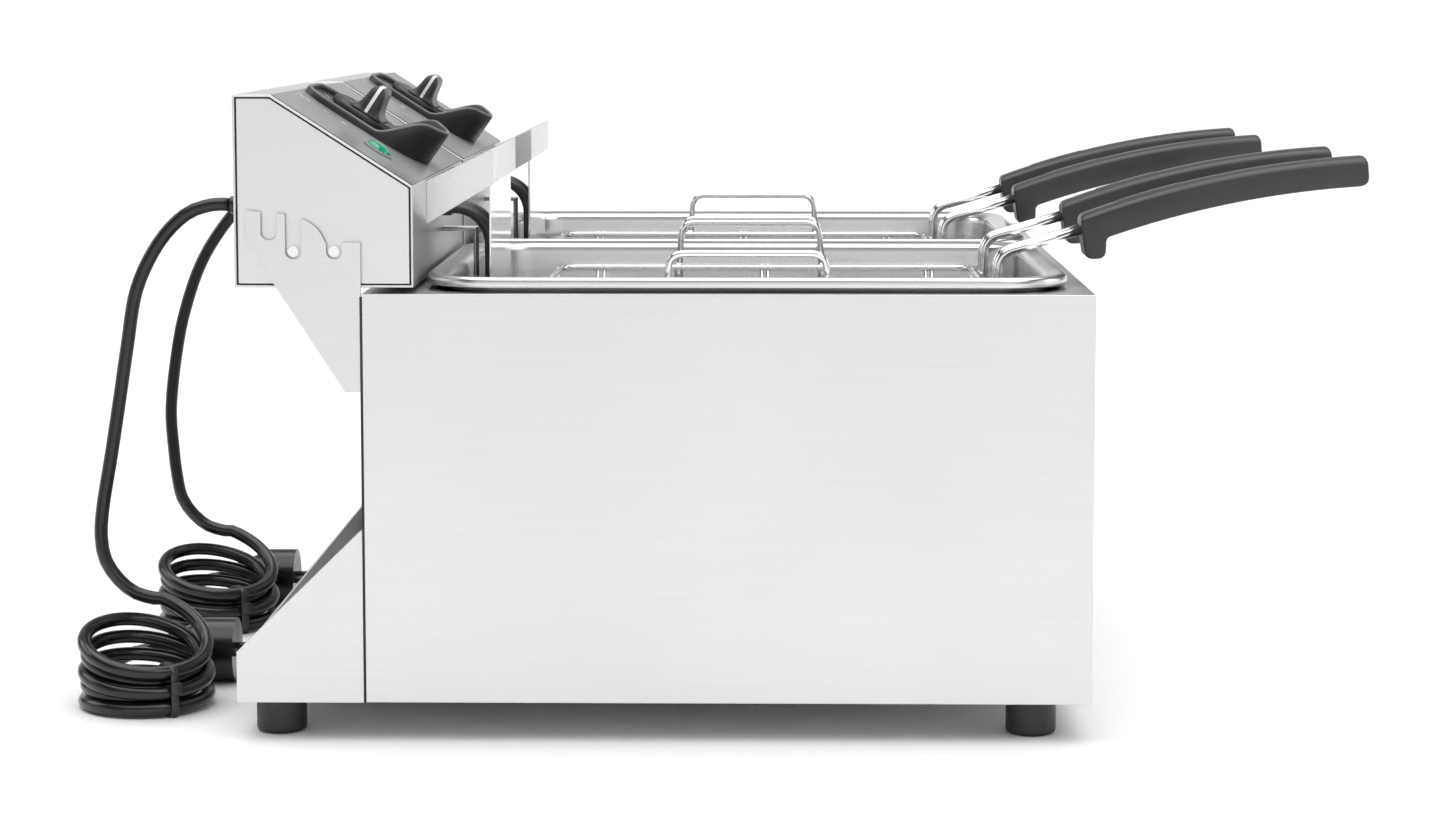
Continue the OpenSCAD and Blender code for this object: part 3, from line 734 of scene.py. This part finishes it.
def flat_mark(side, centre, a, b, half, lift):
    """A thin printed bar on the panel from a to b, given in panel millimetres."""
    _, across, up, normal = panel_frame(side)
    along = (Vector(b) - Vector(a)).normalized()
    cross = Vector((-along.y, along.x)) * half
    rows = []
    for h in (0.0, lift):
        rows.append([centre + across * (p.x * MM) + up * (p.y * MM) + normal * (h * MM)
                     for p in (Vector(a) + cross, Vector(b) + cross, Vector(b) - cross,
                               Vector(a) - cross)])
    return loft(rows)


def make_panel_print(side, mats):
    """Scale marks around the knob and a plain mark beside the lamp."""
    _, across, _, normal = panel_frame(side)
    base = panel_spot(side) + normal * 1.2 * MM
    parts = []
    for k in range(13):
        a = math.radians(90 - 15 - k * 27.5)
        reach = 4.5 if k % 3 == 0 else 3
        u = Vector((math.cos(a), math.sin(a)))
        parts.append(flat_mark(side, base, u * 25, u * (25 + reach), 0.45, 0.08))
    start = base + across * (-52 * MM) - normal * 1.2 * MM
    for k, long in enumerate((9, 3, 3)):
        a = Vector((-4.5, 26 - k * 12))
        parts.append(flat_mark(side, start, a, a + Vector((0, long)), 0.8, 0.08))
    add_mesh(f"{side}_panel_print", *join(parts), mats["print"], f"{side}_head", smooth=False)


def panel_spot(side):
    """The point of the panel's face under the knob's centre."""
    normal = panel_frame(side)[3]
    knob = Vector(JOINTS[f"{side}_thermostat_knob"]["pos_m"])
    return knob - normal * (knob - on_panel(side, 0, 0)).dot(normal)


def panel_ring(side, points, z):
    """2-D points in panel millimetres, lifted z off the panel's face around the knob."""
    _, across, up, normal = panel_frame(side)
    base = panel_spot(side)
    return [base + across * x * MM + up * y * MM + normal * z * MM for x, y in points]


def circle(radius, count=64):
    angles = [2 * math.pi * k / count for k in range(count)]
    return [(radius * math.cos(a), radius * math.sin(a)) for a in angles]


# height off the panel, half length, half width and corner radius of the knob's bar
BAR = ((7.0, 20.4, 13.0, 9.0), (8.1, 19.7, 9.6, 7.2), (9.8, 19.3, 7.5, 5.6),
       (12.5, 19.0, 6.2, 4.7), (16.5, 18.6, 5.4, 4.2), (20.5, 18.0, 4.8, 3.9),
       (22.8, 17.2, 4.0, 3.3), (24.0, 16.0, 2.7, 2.2), (24.5, 14.4, 1.3, 1.1))
# radius and height of the knob's skirt
SKIRT = ((20.8, 2.0), (21.8, 2.3), (22.0, 2.9), (22.0, 5.2), (21.5, 6.2), (20.0, 7.3),
         (18.9, 7.6), (17.8, 7.4), (12.0, 7.2))


def make_knob(side, mats):
    """Knob with a tall soft bar that flares into its skirt, and a white pointer line."""
    body = f"{side}_knob_turn"
    bar = loft([panel_ring(side, round_rect(2 * a, 2 * b, r, 6), z) for z, a, b, r in BAR])
    skirt = loft([panel_ring(side, circle(r), z) for r, z in SKIRT])
    knob = add_mesh(f"{side}_knob_shape", *join([bar, skirt]), mats["black"], body)
    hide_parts(f"{side}_knob")
    line = [(-a - 0.12, z) for z, a, _, _ in BAR[1:]] + [(-8, 24.75), (2, 24.75)]
    rows = []
    for x, z in line:
        sink = 0.5 if x > -14 else 0.0
        rows.append(panel_ring(side, [(x, 1.0), (x, -1.0)], z)
                    + panel_ring(side, [(x + 0.6, -1.0), (x + 0.6, 1.0)], z - sink))
    add_mesh(f"{side}_knob_pointer", *loft(rows), mats["print"], body, smooth=False)


# the guard's radius in front, its corner radius at the back, and where each is centred
GUARD_R, GUARD_CORNER = 36, 20
GUARD_Y, GUARD_CORNER_Y = -9.6, 16.4
KNOB_Y = 7.6


def guard_path():
    """The guard's outline around the knob: round in front, straight cheeks, soft back corners."""
    corner_x = GUARD_R - GUARD_CORNER
    cheek = [y - KNOB_Y for y in (4, 9, 14, 19)]
    quarter = [math.pi / 2 * k / 12 for k in range(13)]
    path = [(GUARD_R * math.cos(a), GUARD_Y + GUARD_R * math.sin(a))
            for a in (-math.pi * k / 40 for k in range(41))]
    path += [(-GUARD_R, y) for y in cheek]
    path += [(-corner_x - GUARD_CORNER * math.cos(a), GUARD_CORNER_Y + GUARD_CORNER * math.sin(a))
             for a in quarter]
    path += [(x, GUARD_CORNER_Y + GUARD_CORNER) for x in (-10, -4, 4, 10)]
    path += [(corner_x + GUARD_CORNER * math.sin(a), GUARD_CORNER_Y + GUARD_CORNER * math.cos(a))
             for a in quarter]
    path += [(GUARD_R, y) for y in reversed(cheek)]
    return [Vector(p) for p in path]


def make_guard(side, mats):
    """Splash guard: a wall that sweeps up in front of the knob, with a thick rounded lip in a
    lighter grey that is a painted highlight along its rim.
    """
    _, across, up, normal = panel_frame(side)
    base = panel_spot(side)
    path = guard_path()
    body = f"{side}_head"
    rings, lip = [], []
    for i, p in enumerate(path):
        along = (path[(i + 1) % len(path)] - path[i - 1]).normalized()
        inward = Vector((along.y, -along.x))
        rise = min(1, max(0, (-3 - (p.y + KNOB_Y)) / 26))
        rise = rise * rise * (3 - 2 * rise)
        high = 3.4 + 18.2 * rise
        lean = -0.9 * rise
        section = [(0, 0), (lean * 0.5, high * 0.5), (lean, high - 0.8), (lean + 0.3, high - 0.2),
                   (lean + 1.2, high), (lean + 2.1, high - 0.2), (lean + 2.4, high - 0.8),
                   (2.4 + lean * 0.4, high * 0.5), (2.6, 0)]
        ring = []
        for d, z in section:
            q = p + inward * d
            ring.append(base + across * q.x * MM + up * q.y * MM + normal * z * MM)
        rings.append(ring)
        q = p + inward * (lean + 1.2)
        lip.append(base + across * q.x * MM + up * q.y * MM + normal * (high + 0.05) * MM)
    wall = loft(rings, loop=True)
    inner = [p * 0.98 for p in path]
    bed = loft([panel_ring(side, inner, 0.1), panel_ring(side, inner, 1.2)])
    guard = add_mesh(f"{side}_guard_wall", *join([wall, bed]), mats["black"], body)
    sharpen(guard, 40)
    # the rim tube takes the lighter grey: a painted highlight on the black guard
    add_mesh(f"{side}_guard_highlight_lip", *tube(lip, 0.95 * MM, 10, loop=True), mats["lip"], body)
    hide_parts(f"{side}_knob_guard")


def sharpen(piece, angle):
    """Shades faces that meet at more than the angle as separate faces."""
    piece.data.set_sharp_from_angle(angle=math.radians(angle))


def inset(points, d):
    """A convex outline, anticlockwise, with every side moved inwards by d."""
    moved = []
    for i, p in enumerate(points):
        before = (p - points[i - 1]).normalized()
        after = (points[(i + 1) % len(points)] - p).normalized()
        a, b = Vector((-before.y, before.x)), Vector((-after.y, after.x))
        moved.append(p + (a + b) * d / (1 + a.dot(b)))
    return moved


def head_outline(side):
    """Side view of a head: base, back, flat top, sloping panel and front, in Y and Z."""
    low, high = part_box(f"{side}_head_tray")
    centre, _, up, normal = panel_frame(side)
    seat = centre - normal * 0.6 * MM
    grade = up.z / up.y
    brow = seat.z + (low.y - seat.y) * grade
    top_y = seat.y + (high.z - seat.z) / grade
    return [Vector(p) for p in ((low.y, low.z), (high.y, low.z), (high.y, high.z),
                                (top_y, high.z), (low.y, brow))]


def make_head_shell(side, mats):
    """One bent sheet around the head and two side plates let into it with a fine gap."""
    low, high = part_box(f"{side}_head_tray")
    outline = head_outline(side)
    inner = inset(outline, 1.3 * MM)
    body = f"{side}_head"
    corners = ((low.x, outline), (high.x, outline), (high.x, inner), (low.x, inner))
    rings = [[Vector((x, y, z)) for y, z in points] for x, points in corners]
    wrap = add_mesh(f"{side}_head_wrap", *loft(rings, loop=True), mats["head_steel"], body)
    break_edges(wrap, 0.55, 3, 15)
    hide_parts(f"{side}_head_cover")
    plate = inset(outline, 2.1 * MM)
    parts = []
    for face, inside in ((low.x + 0.25 * MM, low.x + 1.5 * MM),
                         (high.x - 1.5 * MM, high.x - 0.25 * MM)):
        parts.append(loft([[Vector((face, y, z)) for y, z in plate],
                           [Vector((inside, y, z)) for y, z in plate]]))
    plates = add_mesh(f"{side}_head_sides", *join(parts), mats["side_steel"], body)
    break_edges(plates, 0.5, 2, 30)
    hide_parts(f"{side}_head_tray")
    # a near-black sheet behind each side plate, seen through the fine gap: painted shade inside
    # the head
    shade = inset(outline, 1.35 * MM)
    parts = []
    for x0, x1 in ((low.x + 1.6 * MM, low.x + 2.2 * MM), (high.x - 2.2 * MM, high.x - 1.6 * MM)):
        parts.append(loft([[Vector((x0, y, z)) for y, z in shade],
                           [Vector((x1, y, z)) for y, z in shade]]))
    add_mesh(f"{side}_head_seam_shade", *join(parts), mats["gap"], body, smooth=False)


LAMP_PLACE = (-85, -15.5)


def make_lamp(side, mats):
    """Pilot lamp: grey bezel under a ribbed green dome."""
    _, across, up, normal = panel_frame(side)
    centre = on_panel(side, *LAMP_PLACE, 0.3)
    rings = []
    for k in range(9):
        a = math.pi / 2 * k / 8.4
        r, h = 7.4 * math.cos(a), 0.9 + 3.3 * math.sin(a)
        ring = []
        for j in range(48):
            b = 2 * math.pi * j / 48
            ripple = 1 + 0.03 * math.cos(8 * b) * math.cos(a)
            ring.append(centre + (across * math.cos(b) + up * math.sin(b)) * r * ripple * MM
                        + normal * h * MM)
        rings.append(ring)
    rings.insert(0, [p - normal * 0.9 * MM for p in rings[0]])
    lens = add_mesh(f"{side}_lamp_lens", *loft(rings), mats["lens"], f"{side}_head")
    bezel = []
    for r, h in ((9.0, 0), (9.0, 0.5), (8.6, 1.0), (7.7, 1.1), (7.5, 0.5)):
        bezel.append([centre + (across * math.cos(b) + up * math.sin(b)) * r * MM + normal * h * MM
                      for b in (2 * math.pi * j / 40 for j in range(40))])
    add_mesh(f"{side}_lamp_bezel", *loft(bezel, closed_ends=False), mats["foil"],
             f"{side}_head")
    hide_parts(f"{side}_lamp")


def make_head(side, mats):
    make_head_shell(side, mats)
    make_guard(side, mats)
    softened(f"{side}_hanger", 0.35, mats["plate_steel"])
    softened(f"{side}_guard_plate", 0.35, mats["mirror_steel"])
    softened(f"{side}_pivot_pins", 0.7, mats["wire_steel"])
    paint(mats["foil"], f"{side}_control_panel")
    paint(mats["tube"], f"{side}_element")
    paint(mats["dark_steel"], f"{side}_thermostat")
    paint(mats["ceramic"], f"{side}_limiter", f"{side}_terminal_block")
    paint(mats["cord"], f"{side}_cord_gland")
    make_knob(side, mats)
    make_lamp(side, mats)
    make_panel_print(side, mats)


# ---------- cords ----------

CORD_R = 4 * MM
# each cord's drop from its gland to its coil, then its tail from the coil to the plug
ROUTES = {
    "left": [(-142, 339, 288), (-142, 350, 288), (-142, 366, 282), (-143, 382, 265),
             (-144, 395, 238), (-145, 401, 204), (-146, 406, 172), (-148, 411, 140),
             (-150, 416, 110), (-152, 417, 92), (-154, 414, 78), (-155, 406, 66.5),
             (-156, 396, 59), (-156, 385, 56)],
    "right": [(142, 339, 288), (142, 350, 288), (141, 366, 282.5), (136, 387, 263),
              (128, 406, 233), (118, 417, 198), (110, 422, 166), (102, 424, 134),
              (94, 421, 108), (88, 418, 92), (84, 414, 77.5), (82, 406, 66.5),
              (80.5, 396, 59), (80, 385, 56)],
}
TAILS = {
    "left": [(-190, 419, 4), (-178, 420, 4), (-167, 422, 4.5), (-157, 424, 6),
             (-145, 422, 9), (-134, 415, 13), (-127, 404, 17), (-125, 392, 19)],
    "right": [(46, 419, 4), (58, 420, 4), (69, 422, 4.5), (79, 424, 6), (91, 422, 9),
              (102, 415, 13), (109, 404, 17), (111, 392, 19)],
}
COIL_TURNS = 4.75
TIE_AT = math.radians(215)
PINCHED, FANNED = 4.4, 10.6


def coil_path(side):
    """Loose turns, clockwise and down: they lie two abreast at the tie and fan out opposite."""
    low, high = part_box(f"{side}_coil")
    centre = (low + high) / 2
    start = mm(*ROUTES[side][-1])
    end = mm(*TAILS[side][0])
    radius = (start - centre).xy.length / MM
    steps = int(COIL_TURNS * 48)
    path = []
    for k in range(1, steps):
        turn = COIL_TURNS * k / steps
        angle = -2 * math.pi * turn
        fan = (1 - math.cos(angle - TIE_AT)) / 2
        ends = min(1, 3 * turn, 3 * (COIL_TURNS - turn))
        pair = 4.3 * math.cos(math.pi * (turn - (1 - TIE_AT / (2 * math.pi)))) * (1 - fan)
        sway = 1.3 * math.sin(2.1 * turn * math.pi) * fan
        r = (radius + ends * (pair + sway)) * MM
        z = 4 + (PINCHED + (FANNED - PINCHED) * fan) * (COIL_TURNS - turn)
        path.append(Vector((centre.x + r * math.cos(angle), centre.y + r * math.sin(angle),
                            z * MM)))
    top_gap = start.z - path[0].z
    low_gap = end.z - path[-1].z
    for k, p in enumerate(path):
        p.z += top_gap * max(0, 1 - k / 40) + low_gap * max(0, 1 - (len(path) - 1 - k) / 40)
    return path


def make_cord(side, mats):
    drop = spline([mm(*p) for p in ROUTES[side]])
    tail = spline([mm(*p) for p in TAILS[side]])
    path = drop + coil_path(side) + tail
    cord = add_mesh(f"{side}_power_cord", *tube(path, CORD_R, 14), mats["cord"])
    plug = softened(f"{side}_plug", 1.2, mats["cord"], 3, 30)
    tie = make_tie(side, mats)
    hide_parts(f"{side}_cord", f"{side}_coil")
    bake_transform(cord)


def make_tie(side, mats):
    """A flat band around the pinched side of the turns, with its lock standing proud."""
    low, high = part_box(f"{side}_coil")
    centre = (low + high) / 2
    radius = (high.x - low.x) / 2 / MM - 10
    out = Vector((math.cos(TIE_AT), math.sin(TIE_AT), 0))
    along = Vector((-out.y, out.x, 0))
    middle = Vector((centre.x, centre.y, 0)) + out * radius * MM
    tall = PINCHED * (COIL_TURNS - 0.6) + 11
    rows = []
    for s, grow in ((-2.4, 0), (-2.0, 0.9), (2.0, 0.9), (2.4, 0)):
        row = [middle + out * x * MM + mm(0, 0, tall / 2 + z) + along * s * MM
               for x, z in round_rect(18 + 2 * grow, tall + 2 * grow, 6, 6)]
        rows.append(row)
    for p in (p for row in rows for p in row):
        p.z = max(p.z, 0.1 * MM)
    band = loft(rows, closed_ends=False)
    lock_at = middle + out * 9.6 * MM + mm(0, 0, tall * 0.6)
    lock = []
    for grow, reach in ((2.6, -1), (3, 0), (3, 2.2), (2.4, 2.8)):
        lock.append([lock_at + out * reach * MM + along * x * MM + mm(0, 0, z)
                     for x, z in round_rect(2 * grow, 2 * grow + 1, 1, 3)])
    return add_mesh(f"{side}_cord_tie", *join([band, loft(lock)]), mats["tie"], "fryer")


# ---------- the whole fryer ----------


def make_casing(mats):
    softened("casing", 0.9, mats["side_steel"])
    softened("rear_stand", 0.4, mats["side_steel"])
    for name in ("left_bracket", "centre_bracket", "right_bracket"):
        softened(name, 0.3, mats["head_steel"])
    softened("feet", 1.4, mats["rubber"], 3)
    make_rear_seams(mats)
    paint(mats["side_steel"], "rear_panel", "base_plate")
    paint(mats["dark_steel"], "foot_screws")


def make_rear_seams(mats):
    """A near-black bar in the joint between each side wall and what is fixed behind it: painted
    shade in the joint.
    """
    low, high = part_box("casing")
    parts = []
    for x, out in ((low.x, -1), (high.x, 1)):
        rings = []
        for z in (low.z, high.z - 1.5 * MM):
            rings.append([Vector((x + out * 0.02 * MM + a * MM, high.y + b * MM, z))
                          for a, b in round_rect(0.5, 1.5, 0.2, 3)])
        parts.append(loft(rings))
    # near-black matte bars: painted shade along the joints
    add_mesh("casing_rear_seam_shade", *join(parts), mats["gap"], "fryer")


def main():
    make_camera()
    mats = make_materials()
    for side in SIDES:
        make_cord(side, mats)
    make_light()
    make_floor()
    make_casing(mats)
    for side in SIDES:
        make_pot(side, mats)
        make_pot_loops(side, mats)
        make_head(side, mats)
    for letter in BASKETS:
        make_basket(letter, mats)
        make_handle(letter, mats)
        make_grip(letter, mats)


main()
